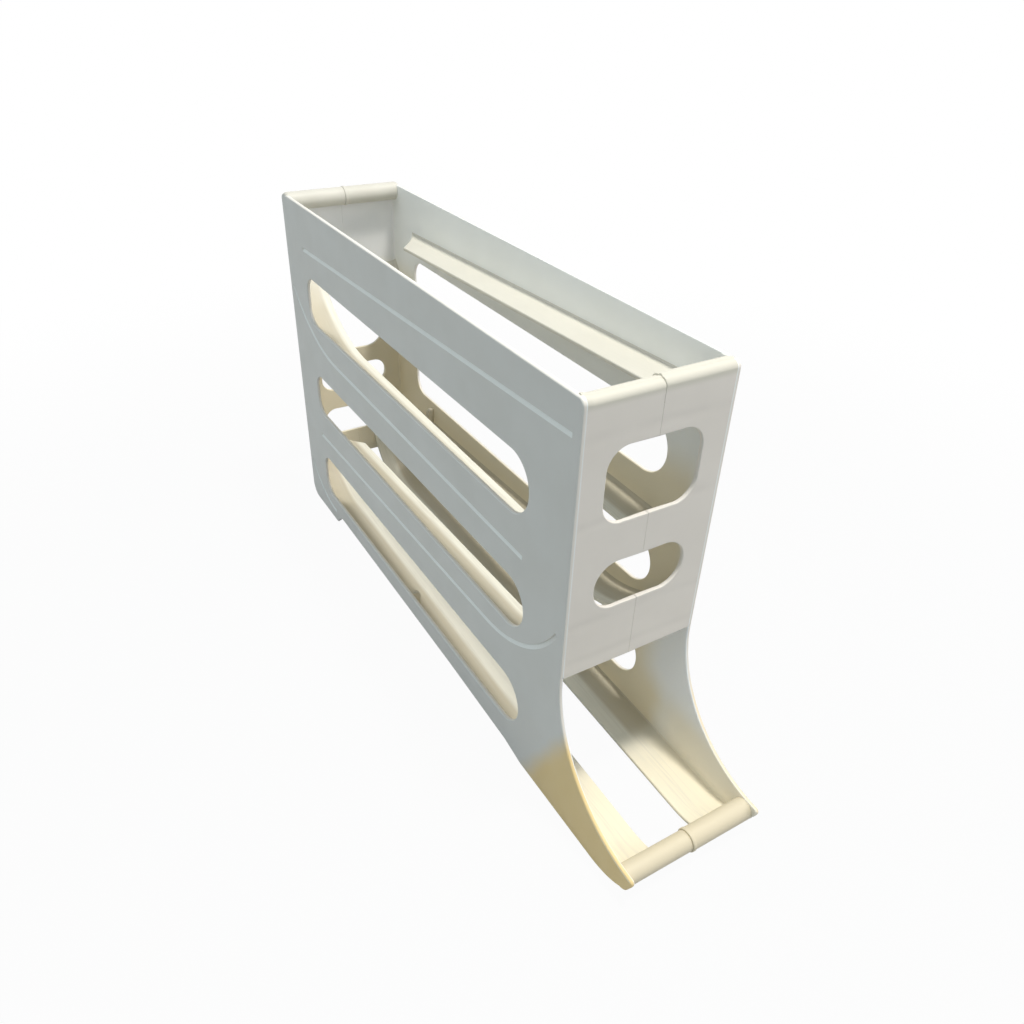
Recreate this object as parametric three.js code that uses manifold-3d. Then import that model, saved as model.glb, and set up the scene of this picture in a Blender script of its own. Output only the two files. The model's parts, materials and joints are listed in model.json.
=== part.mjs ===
// Free-standing egg holder with four tiers of rails that eggs roll down to an open tray at the front.
// It is moulded as a left and a right half, which meet on a seam down the middle. Each half is shown as
// its side panel, half walls, half bars and rails, which lie face to face where the moulding is one.
// X runs across from the seam, Y along from the front wall's outer face towards the back, and Z up from
// the surface that the holder stands on. All sizes are in millimetres.

import * as THREE from 'three';
import { mergeVertices } from 'three/addons/utils/BufferGeometryUtils.js';
import Module from 'manifold-3d';

const wasm = await Module();
wasm.setup();

// Whole holder
const holderWidth = 72;
const bodyLength = 310;
const panelHeight = 207.5;
const trayReach = 60;
const wallThickness = 2;
const railThickness = 2;
const cutOverrun = 1;
const jointClearance = 0.3;

// Side panel outline, from the heel at the back to the tray lip at the front
const heelRadius = 9;
const footLength = 45;
const footStepRun = 8.5;
const footStepRise = 7.4;
const bellyPlace = 100;
const bellyRise = 5.2;
const frontFootPlace = 26;
const frontFootStepRun = 15;
const lipRun = 32;
const lipHeight = 16;
const lipTipWidth = 1;

// Heights of the tiers, as shares of the panel height. A rail's height is that of its middle plane.
const railOneFrontShare = 0.925;
const railOneBackShare = 0.878;
const railTwoFrontShare = 0.581;
const railTwoBackShare = 0.595;
const railThreeFrontShare = 0.3195;
const railThreeBackShare = 0.2925;
const topSlotShare = 0.667;
const middleSlotShare = 0.378;
const bottomSlotShare = 0.088;
const frontWallShare = 0.378;
const frontUpperWindowShare = 0.729;
const frontLowerWindowShare = 0.527;
const backWallShare = 0.116;
const backUpperWindowShare = 0.499;
const backMiddleWindowShare = 0.368;
const backLowerWindowShare = 0.207;

// Slots through the side panels
const slotInset = 30.5;
const slotBackRadius = 10;
const topSlotHeight = 28.6;
const middleSlotHeight = 26.6;
const bottomSlotHeight = 28.2;

// Grooves in the side panels' outer faces, which follow the rails behind them
const grooveWidth = 2.4;
const grooveDepth = 0.8;
const grooveInset = 3;

// Windows across the seam of the front and back walls
const windowHalfWidth = 22.8;
const frontUpperWindowHeight = 33.7;
const frontUpperWindowRadius = 10;
const frontLowerWindowHeight = 23;
const frontLowerWindowRadius = 11;
const backUpperWindowHeight = 42;
const backUpperWindowRadius = 12;
const backMiddleWindowHeight = 16;
const backMiddleWindowRadius = 7.5;
const backLowerWindowHeight = 19;
const backLowerWindowRadius = 8;

// Rim bead on the front wall
const rimDepth = 8.5;
const rimHeight = 9.5;
const rimOuterRadius = 2;
const rimInnerRadius = 3.8;

// Round bars across the top of the back wall and across the tray lip
const topBarDiameter = 11;
const topBarRise = 1.5;
const topBarWebDrop = 1;
const trayBarDiameter = 10.4;
const trayBarInset = 7.4;
const trayBarHeight = 10.7;

// Joints across the seam: a spigot on the right half in a bore in the left half, in the rim and in each bar
const spigotDiameter = 5;
const spigotLength = 10;
const boreEndSpace = 2;

// Rails, numbered from the top. Each half leaves half a gap to the seam.
const railOneHalfGap = 15.5;
const railTwoHalfGap = 16.5;
const railThreeHalfGap = 16.5;
const railFourHalfGap = 12;
const backDropGap = 28;
const frontDropGap = 31;
const railEndSkew = 25;

// Curved ramps, where a rail sweeps up to a wall to catch the eggs
const rampTwoRadius = 85;
const rampTwoAngle = THREE.MathUtils.degToRad(53);
const rampThreeRadius = 65;
const rampThreeAngle = THREE.MathUtils.degToRad(67);
const rampFourRadius = 48;
const rampFourAngle = THREE.MathUtils.degToRad(63.5);

// Gusset between the lowest rail and the side panel
const gussetPlace = 158;
const gussetReach = 7;
const gussetHeight = 9;
const gussetThickness = 2.2;

// Steps in round outlines
const arcSteps = 12;
const rampSteps = 14;
const roundSteps = 32;
const quarterTurn = Math.PI / 2;

const halfWidth = holderWidth / 2;
const innerHalf = halfWidth - wallThickness;
const backInner = bodyLength - wallThickness;
const frontWallBase = frontWallShare * panelHeight;

const ivory = { color: 0xe9e4d8, roughness: 0.45, metalness: 0 };

// Points of an ellipse's arc in a plane, from one angle to another.
function arcPoints(centreA, centreB, radiusA, radiusB, startAngle, endAngle, steps) {
  const points = [];
  for (let i = 0; i <= steps; i += 1) {
    const angle = startAngle + ((endAngle - startAngle) * i) / steps;
    points.push(new THREE.Vector2(centreA + radiusA * Math.cos(angle), centreB + radiusB * Math.sin(angle)));
  }
  return points;
}

// A closed solid from a three.js geometry.
function toSolid(geometry) {
  geometry.deleteAttribute('normal');
  geometry.deleteAttribute('uv');
  const merged = mergeVertices(geometry);
  return new wasm.Manifold(new wasm.Mesh({
    numProp: 3,
    vertProperties: new Float32Array(merged.attributes.position.array),
    triVerts: new Uint32Array(merged.index.array),
  }));
}

// A three.js geometry from a closed solid.
function toGeometry(solid) {
  const mesh = solid.getMesh();
  const geometry = new THREE.BufferGeometry();
  geometry.setAttribute('position', new THREE.BufferAttribute(new Float32Array(mesh.vertProperties), 3));
  geometry.setIndex(new THREE.BufferAttribute(new Uint32Array(mesh.triVerts), 1));
  geometry.computeVertexNormals();
  return geometry;
}

// A profile given as (along, up) points, with holes, that fills the width from one X to another.
function acrossSolid(profile, fromX, toX, holes = []) {
  const shape = new THREE.Shape(profile);
  holes.forEach((hole) => shape.holes.push(new THREE.Path(hole)));
  const geometry = new THREE.ExtrudeGeometry(shape, { depth: toX - fromX, bevelEnabled: false });
  const turn = new THREE.Matrix4().makeBasis(
    new THREE.Vector3(0, 1, 0),
    new THREE.Vector3(0, 0, 1),
    new THREE.Vector3(1, 0, 0),
  );
  geometry.applyMatrix4(turn);
  geometry.translate(fromX, 0, 0);
  return toSolid(geometry);
}

// A profile given as (across, up) points that fills the length from one Y to another.
function alongSolid(profile, fromY, toY) {
  const geometry = new THREE.ExtrudeGeometry(new THREE.Shape(profile), {
    depth: toY - fromY,
    bevelEnabled: false,
  });
  geometry.rotateX(quarterTurn);
  geometry.translate(0, toY, 0);
  return toSolid(geometry);
}

// A profile given as (across, along) points that fills the height from one Z to another.
function uprightSolid(profile, fromZ, toZ) {
  const geometry = new THREE.ExtrudeGeometry(new THREE.Shape(profile), {
    depth: toZ - fromZ,
    bevelEnabled: false,
  });
  geometry.translate(0, 0, fromZ);
  return toSolid(geometry);
}

// A block between two corners.
function blockSolid(low, high) {
  const size = new THREE.Vector3().subVectors(high, low);
  const middle = new THREE.Vector3().addVectors(low, high).multiplyScalar(0.5);
  const geometry = new THREE.BoxGeometry(size.x, size.y, size.z);
  geometry.translate(middle.x, middle.y, middle.z);
  return toSolid(geometry);
}

// A round rod along X.
function rodSolid(radius, centreY, centreZ, fromX, toX) {
  const circle = arcPoints(centreY, centreZ, radius, radius, 0, 4 * quarterTurn, roundSteps);
  circle.pop();
  return acrossSolid(circle, fromX, toX);
}

// The outline of a strip of even thickness that follows a path of (along, up) points. Its ends are upright.
function ribbonOutline(path, thickness) {
  const upper = [];
  const lower = [];
  path.forEach((point, i) => {
    const before = path[Math.max(i - 1, 0)];
    const after = path[Math.min(i + 1, path.length - 1)];
    const slope = Math.atan2(after.y - before.y, after.x - before.x);
    const half = thickness / 2 / Math.cos(slope);
    upper.push(new THREE.Vector2(point.x, point.y + half));
    lower.push(new THREE.Vector2(point.x, point.y - half));
  });
  return [...lower, ...upper.reverse()];
}

// The height of a path at a place along it.
function pathHeight(path, place) {
  const i = Math.max(1, Math.min(path.findIndex((point) => point.x >= place), path.length - 1));
  const share = (place - path[i - 1].x) / (path[i].x - path[i - 1].x);
  return THREE.MathUtils.lerp(path[i - 1].y, path[i].y, share);
}

// The stretch of a path between two places along it.
function trimPath(path, fromY, toY) {
  const inside = path.filter((point) => point.x > fromY && point.x < toY);
  const start = new THREE.Vector2(fromY, pathHeight(path, fromY));
  const end = new THREE.Vector2(toY, pathHeight(path, toY));
  return [start, ...inside, end];
}

// A ramp that leaves level at the given height and ends on the back wall.
function backRamp(radius, angle, height) {
  const foot = backInner - radius * Math.sin(angle);
  return arcPoints(foot, height + radius, radius, radius, -quarterTurn, angle - quarterTurn, rampSteps);
}

// A ramp that leaves level at the given height and ends on the front wall.
function frontRamp(radius, angle, height) {
  const foot = wallThickness + radius * Math.sin(angle);
  return arcPoints(foot, height + radius, radius, radius, -quarterTurn - angle, -quarterTurn, rampSteps);
}

const backRailEnd = backInner - backDropGap;
const lipCentre = lipRun - trayReach;

// The underside of the tray lip, from its tip to the level base.
function lipPoints() {
  return arcPoints(lipCentre, lipHeight, lipRun, lipHeight, 2 * quarterTurn, 3 * quarterTurn, arcSteps);
}

function railOnePath() {
  return [
    new THREE.Vector2(wallThickness, railOneFrontShare * panelHeight),
    new THREE.Vector2(backRailEnd, railOneBackShare * panelHeight),
  ];
}

function railTwoPath() {
  const start = new THREE.Vector2(wallThickness + frontDropGap, railTwoFrontShare * panelHeight);
  return [start, ...backRamp(rampTwoRadius, rampTwoAngle, railTwoBackShare * panelHeight)];
}

function railThreePath() {
  const end = new THREE.Vector2(backRailEnd, railThreeBackShare * panelHeight);
  return [...frontRamp(rampThreeRadius, rampThreeAngle, railThreeFrontShare * panelHeight), end];
}

// The lowest rail follows the lip, runs straight along the side panel's foot and sweeps up to the back wall.
function railFourPath() {
  const lift = railThickness / 2;
  const lip = lipPoints().filter((point) => point.x > trayBarInset - trayReach);
  const floor = lip.map((point) => new THREE.Vector2(point.x, point.y + lift));
  return [...floor, ...backRamp(rampFourRadius, rampFourAngle, footStepRise + lift)];
}

// Side panel

function panelOutline() {
  const footFront = bodyLength - footLength;
  const stepTop = frontFootPlace + frontFootStepRun;
  const stepShare = (stepTop - lipCentre) / (bellyPlace - lipCentre);
  const heelCentre = bodyLength - heelRadius;
  const scoopCentre = lipTipWidth - trayReach;
  const scoopHeight = frontWallBase - lipHeight;
  const heel = arcPoints(heelCentre, heelRadius, heelRadius, heelRadius, 0, -quarterTurn, arcSteps);
  const scoop = arcPoints(scoopCentre, frontWallBase, -scoopCentre, scoopHeight, -quarterTurn, 0, roundSteps);
  return [
    new THREE.Vector2(0, panelHeight),
    new THREE.Vector2(bodyLength, panelHeight),
    ...heel,
    new THREE.Vector2(footFront, 0),
    new THREE.Vector2(footFront - footStepRun, footStepRise),
    new THREE.Vector2(bellyPlace, bellyRise),
    new THREE.Vector2(stepTop, bellyRise * stepShare),
    new THREE.Vector2(frontFootPlace, 0),
    ...lipPoints().reverse(),
    ...scoop,
  ];
}

// A slot whose front end is a half round and whose back corners are tighter.
function slotOutline(base, height) {
  const top = base + height;
  const round = height / 2;
  const corner = Math.min(slotBackRadius, round);
  const front = slotInset + round;
  const back = bodyLength - slotInset - corner;
  return [
    ...arcPoints(front, base + round, round, round, quarterTurn, 3 * quarterTurn, arcSteps),
    ...arcPoints(back, base + corner, corner, corner, -quarterTurn, 0, arcSteps / 2),
    ...arcPoints(back, top - corner, corner, corner, 0, quarterTurn, arcSteps / 2),
  ];
}

function grooveSolid(path, fromY, toY) {
  const outline = ribbonOutline(trimPath(path, fromY, toY), grooveWidth);
  return acrossSolid(outline, halfWidth - grooveDepth, halfWidth + cutOverrun);
}

function sidePanel() {
  const slots = [
    slotOutline(topSlotShare * panelHeight, topSlotHeight),
    slotOutline(middleSlotShare * panelHeight, middleSlotHeight),
    slotOutline(bottomSlotShare * panelHeight, bottomSlotHeight),
  ];
  const rampFourFoot = backInner - rampFourRadius * Math.sin(rampFourAngle);
  const grooveBack = backInner - grooveInset;
  return acrossSolid(panelOutline(), innerHalf, halfWidth, slots)
    .subtract(grooveSolid(railOnePath(), wallThickness + grooveInset, backRailEnd))
    .subtract(grooveSolid(railTwoPath(), wallThickness + frontDropGap, grooveBack))
    .subtract(grooveSolid(railThreePath(), wallThickness + grooveInset, backRailEnd))
    .subtract(grooveSolid(railFourPath(), rampFourFoot, grooveBack));
}

// Front and back walls

// The seam side of a half wall, from its top down, with half of each window listed.
function seamNotches(windows) {
  return windows.flatMap(({ share, height, radius }) => {
    const base = share * panelHeight;
    const corner = Math.min(radius, height / 2);
    const inner = windowHalfWidth - corner;
    return [
      new THREE.Vector2(0, base + height),
      ...arcPoints(inner, base + height - corner, corner, corner, quarterTurn, 0, arcSteps / 2),
      ...arcPoints(inner, base + corner, corner, corner, 0, -quarterTurn, arcSteps / 2),
      new THREE.Vector2(0, base),
    ];
  });
}

function halfWallOutline(base, top, windows) {
  return [
    new THREE.Vector2(0, base),
    new THREE.Vector2(innerHalf, base),
    new THREE.Vector2(innerHalf, top),
    new THREE.Vector2(0, top),
    ...seamNotches(windows),
  ];
}

function frontWall() {
  const windows = [
    { share: frontUpperWindowShare, height: frontUpperWindowHeight, radius: frontUpperWindowRadius },
    { share: frontLowerWindowShare, height: frontLowerWindowHeight, radius: frontLowerWindowRadius },
  ];
  const outline = halfWallOutline(frontWallBase, panelHeight - rimHeight, windows);
  return alongSolid(outline, 0, wallThickness);
}

const topBarRadius = topBarDiameter / 2;
const topBarCentreY = bodyLength - topBarRadius;
const topBarCentreZ = panelHeight + topBarRise - topBarRadius;
const backWallTop = topBarCentreZ - topBarRadius - topBarWebDrop;

function backWall() {
  const windows = [
    { share: backUpperWindowShare, height: backUpperWindowHeight, radius: backUpperWindowRadius },
    { share: backMiddleWindowShare, height: backMiddleWindowHeight, radius: backMiddleWindowRadius },
    { share: backLowerWindowShare, height: backLowerWindowHeight, radius: backLowerWindowRadius },
  ];
  const outline = halfWallOutline(backWallShare * panelHeight, backWallTop, windows);
  return alongSolid(outline, backInner, bodyLength);
}

// Rim and bars

// One half of a rim or bar: with a bore for the other half's spigot, or with the spigot.
function halfBar(body, centreY, centreZ, hasBore) {
  const spigotRadius = spigotDiameter / 2;
  if (hasBore) {
    const depth = spigotLength + boreEndSpace;
    return body.subtract(rodSolid(spigotRadius + jointClearance, centreY, centreZ, -cutOverrun, depth));
  }
  return body.add(rodSolid(spigotRadius, centreY, centreZ, -spigotLength, spigotLength));
}

function rimOutline() {
  const base = panelHeight - rimHeight;
  const outer = rimOuterRadius;
  const inner = rimInnerRadius;
  const innerY = rimDepth - inner;
  return [
    new THREE.Vector2(0, base),
    new THREE.Vector2(wallThickness, base),
    ...arcPoints(innerY, base + inner, inner, inner, -quarterTurn, 0, arcSteps / 2),
    ...arcPoints(innerY, panelHeight - inner, inner, inner, 0, quarterTurn, arcSteps / 2),
    ...arcPoints(outer, panelHeight - outer, outer, outer, quarterTurn, 2 * quarterTurn, arcSteps / 2),
  ];
}

function frontRim(hasBore) {
  const bead = acrossSolid(rimOutline(), 0, innerHalf);
  return halfBar(bead, rimDepth / 2, panelHeight - rimHeight / 2, hasBore);
}

function topBar(hasBore) {
  const rod = rodSolid(topBarRadius, topBarCentreY, topBarCentreZ, 0, innerHalf);
  const web = blockSolid(
    new THREE.Vector3(0, backInner, backWallTop),
    new THREE.Vector3(innerHalf, bodyLength, topBarCentreZ),
  );
  return halfBar(rod.add(web), topBarCentreY, topBarCentreZ, hasBore);
}

const trayBarRadius = trayBarDiameter / 2;
const trayBarCentreY = trayBarInset - trayReach;

function trayBar(hasBore) {
  const rod = rodSolid(trayBarRadius, trayBarCentreY, trayBarHeight, 0, innerHalf);
  return halfBar(rod, trayBarCentreY, trayBarHeight, hasBore);
}

// Rails

function railSolid(path, halfGap) {
  return acrossSolid(ribbonOutline(path, railThickness), halfGap, innerHalf);
}

// Cuts a rail's back end on the skew, so that its inner edge ends first.
function skewedBackEnd(rail, halfGap) {
  const corner = [
    new THREE.Vector2(halfGap - cutOverrun, backRailEnd - railEndSkew),
    new THREE.Vector2(halfGap, backRailEnd - railEndSkew),
    new THREE.Vector2(innerHalf, backRailEnd),
    new THREE.Vector2(innerHalf, backRailEnd + cutOverrun),
    new THREE.Vector2(halfGap - cutOverrun, backRailEnd + cutOverrun),
  ];
  return rail.subtract(uprightSolid(corner, 0, panelHeight));
}

function railOne() {
  return skewedBackEnd(railSolid(railOnePath(), railOneHalfGap), railOneHalfGap);
}

function railTwo() {
  return railSolid(railTwoPath(), railTwoHalfGap);
}

function railThree() {
  return skewedBackEnd(railSolid(railThreePath(), railThreeHalfGap), railThreeHalfGap);
}

// A quarter-round web between the lowest rail and the side panel.
function gusset() {
  const foot = pathHeight(railFourPath(), gussetPlace);
  const outline = [
    new THREE.Vector2(innerHalf, foot),
    ...arcPoints(innerHalf, foot, gussetReach, gussetHeight, quarterTurn, 2 * quarterTurn, arcSteps / 2),
  ];
  return alongSolid(outline, gussetPlace - gussetThickness / 2, gussetPlace + gussetThickness / 2);
}

function railFour() {
  const barSpace = rodSolid(trayBarRadius + jointClearance, trayBarCentreY, trayBarHeight, 0, halfWidth);
  return railSolid(railFourPath(), railFourHalfGap).add(gusset()).subtract(barSpace);
}

// Assembly

// Turns a solid of the right half into the left half's, with its faces still pointing out.
function mirrored(geometry) {
  geometry.scale(-1, 1, 1);
  const index = geometry.index;
  for (let i = 0; i < index.count; i += 3) {
    const second = index.getX(i + 1);
    index.setX(i + 1, index.getX(i + 2));
    index.setX(i + 2, second);
  }
  geometry.computeVertexNormals();
  return geometry;
}

// The left half carries the bores, and the right half the spigots.
function buildHalf(side) {
  const isLeft = side === 'left';
  const solids = {
    side_panel: sidePanel(),
    front_wall: frontWall(),
    front_rim: frontRim(isLeft),
    back_wall: backWall(),
    top_bar: topBar(isLeft),
    rail_1: railOne(),
    rail_2: railTwo(),
    rail_3: railThree(),
    rail_4: railFour(),
    tray_bar: trayBar(isLeft),
  };
  const half = new THREE.Group();
  Object.entries(solids).forEach(([name, solid]) => {
    const geometry = isLeft ? mirrored(toGeometry(solid)) : toGeometry(solid);
    const mesh = new THREE.Mesh(geometry, new THREE.MeshStandardMaterial(ivory));
    mesh.name = `${side}_${name}`;
    half.add(mesh);
  });
  return half;
}

const holder = new THREE.Group();
holder.add(buildHalf('left'), buildHalf('right'));
holder.position.y = (trayReach - bodyLength) / 2;

export default holder;
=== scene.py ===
"""Looks of a free-standing plastic egg holder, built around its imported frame.

The holder is moulded as a left and a right half, which meet on a seam down the middle. Each half is a side
panel, half of the front and back walls, half of the rim and of two round bars, and four rails. All sizes and
places are in metres, in the frame's own axes: X across from the seam, Y towards the back, Z up.
"""

import json
import logging
import math
from dataclasses import dataclass, field
from enum import Enum
from functools import reduce
from typing import Callable, Sequence

import bmesh
import bpy
from mathutils import Euler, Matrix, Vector
from mathutils.kdtree import KDTree

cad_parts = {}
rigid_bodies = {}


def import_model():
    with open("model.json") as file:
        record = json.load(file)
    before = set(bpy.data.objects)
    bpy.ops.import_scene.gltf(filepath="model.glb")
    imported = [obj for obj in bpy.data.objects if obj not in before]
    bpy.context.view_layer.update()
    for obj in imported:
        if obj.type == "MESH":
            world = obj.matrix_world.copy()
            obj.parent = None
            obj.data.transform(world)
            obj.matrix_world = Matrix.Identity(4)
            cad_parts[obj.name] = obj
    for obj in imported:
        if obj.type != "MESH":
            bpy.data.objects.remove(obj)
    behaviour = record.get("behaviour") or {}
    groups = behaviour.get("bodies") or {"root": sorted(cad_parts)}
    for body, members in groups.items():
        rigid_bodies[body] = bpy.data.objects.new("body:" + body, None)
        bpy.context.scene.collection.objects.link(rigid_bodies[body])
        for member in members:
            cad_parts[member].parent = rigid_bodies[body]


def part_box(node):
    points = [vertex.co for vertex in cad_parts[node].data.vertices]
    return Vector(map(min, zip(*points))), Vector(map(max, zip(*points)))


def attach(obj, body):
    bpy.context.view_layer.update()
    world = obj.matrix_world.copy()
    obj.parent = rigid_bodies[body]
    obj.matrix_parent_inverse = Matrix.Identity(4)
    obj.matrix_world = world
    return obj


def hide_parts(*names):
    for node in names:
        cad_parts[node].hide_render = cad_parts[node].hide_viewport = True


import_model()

Point = tuple[float, float]
Line = list[Point]
Tone = tuple[float, float, float]
Place = tuple[float, float, float]
Socket = bpy.types.NodeSocket
Element = bmesh.types.BMVert | bmesh.types.BMEdge | bmesh.types.BMFace
EdgeTest = Callable[[Vector, Vector], bool]

LOG = logging.getLogger("egg_holder")
BODY = "root"
SHORT_NAMES = {"side_panel": "panel", "front_rim": "rim"}
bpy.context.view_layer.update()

QUARTER = math.pi / 2
NEAR = 1e-5
SPECK = 1e-4
SHARP_ANGLE = math.radians(28)
SMOOTH_ANGLE = math.radians(50)
FINE_SEGMENTS = 2

# The sockets of a Mix node that mixes colours.
MIX_MASK, MIX_LOW, MIX_HIGH, MIX_RESULT = 0, 6, 7, 2


class Side(Enum):
    """The half of the holder that a piece belongs to, as seen from the front."""

    LEFT = "left"
    RIGHT = "right"


class Kind(Enum):
    """A kind of mesh element, with the name of its list in a mesh."""

    VERT = "verts"
    EDGE = "edges"
    FACE = "faces"


class Square(Enum):
    """The axis that a drawing plane is square to."""

    X = 0
    Y = 1
    Z = 2

    def place(self, first: float, second: float, depth: float) -> Vector:
        """The place of a point drawn on the plane at a depth, from its numbers along the other two axes."""
        drawn = (first, second)
        return Vector((*drawn[:self.value], depth, *drawn[self.value:]))

    def holds(self, *depths: float) -> EdgeTest:
        """A test of whether an edge lies in the plane at one of some depths."""
        return lambda a, b: any(
            all(abs(end[self.value] - depth) < NEAR for end in (a, b)) for depth in depths)


def arc(centre: Point, radii: Point, start: float, end: float, steps: int) -> Line:
    """Points along an ellipse's arc from one angle to another, both ends included."""
    angles = [start + (end - start) * i / steps for i in range(steps + 1)]
    return [(centre[0] + radii[0] * math.cos(a), centre[1] + radii[1] * math.sin(a)) for a in angles]


def round_arc(centre: Point, radius: float, start: float, end: float, steps: int) -> Line:
    """Points along a round arc, as arc gives them."""
    return arc(centre, (radius, radius), start, end, steps)


def headings(line: Sequence[Point]) -> list[float]:
    """A line's heading at each of its points, halfway between those of the runs that meet there."""
    runs = [math.atan2(b[1] - a[1], b[0] - a[0]) for a, b in zip(line, line[1:])]
    return [runs[0], *((a + b) / 2 for a, b in zip(runs, runs[1:])), runs[-1]]


def beyond(last: Point, end: Point, distance: float) -> Point:
    """The point that lies a distance past a line's end, on the heading of its last run."""
    share = distance / math.hypot(end[0] - last[0], end[1] - last[1])
    return (end[0] + (end[0] - last[0]) * share, end[1] + (end[1] - last[1]) * share)


def height_at(line: Sequence[Point], place: float) -> float:
    """The height of a line at a Y place.

    Args:
        line: The line's points, from the front.
        place: The Y place.

    Returns:
        The height.
    """
    for (y0, z0), (y1, z1) in zip(line, line[1:]):
        if y0 <= place <= y1 + NEAR:
            return z0 + (z1 - z0) * (place - y0) / (y1 - y0)
    raise ValueError(f"the line doesn't reach {place}")


def crossed(line: Sequence[Point], place: float) -> Line:
    """Adds a point to an open line wherever it crosses a Y place.

    Args:
        line: The line's points.
        place: The Y place.

    Returns:
        The line with the added points.
    """
    result = [line[0]]
    for last, point in zip(line, line[1:]):
        if (last[0] - place) * (point[0] - place) < 0:
            share = (place - last[0]) / (point[0] - last[0])
            result.append((place, last[1] + (point[1] - last[1]) * share))
        result.append(point)
    return result


def run_beside(line: Sequence[Point], place: float, way: int) -> Line:
    """The run of a closed line on one side of a Y place that it crosses twice.

    Args:
        line: The line, with a point where it crosses the place.
        place: The Y place.
        way: The side, -1 for the front or 1 for the back.

    Returns:
        The run's points, from its lower to its upper crossing.
    """
    first, last = (i for i, point in enumerate(line) if abs(point[0] - place) < NEAR)
    runs = (list(line[first:last + 1]), [*line[last:], *line[:first + 1]])
    run = next(run for run in runs if (run[1][0] - place) * way > 0)
    return run if run[0][1] < run[-1][1] else run[::-1]


def among(places: Sequence[Vector]) -> Callable[[Vector], bool]:
    """Makes a test of whether a place is one of some given ones.

    Args:
        places: The given places.

    Returns:
        The test.
    """
    tree = KDTree(len(places))
    for i, place in enumerate(places):
        tree.insert(place, i)
    tree.balance()
    return lambda place: tree.find(place)[2] < NEAR


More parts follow.
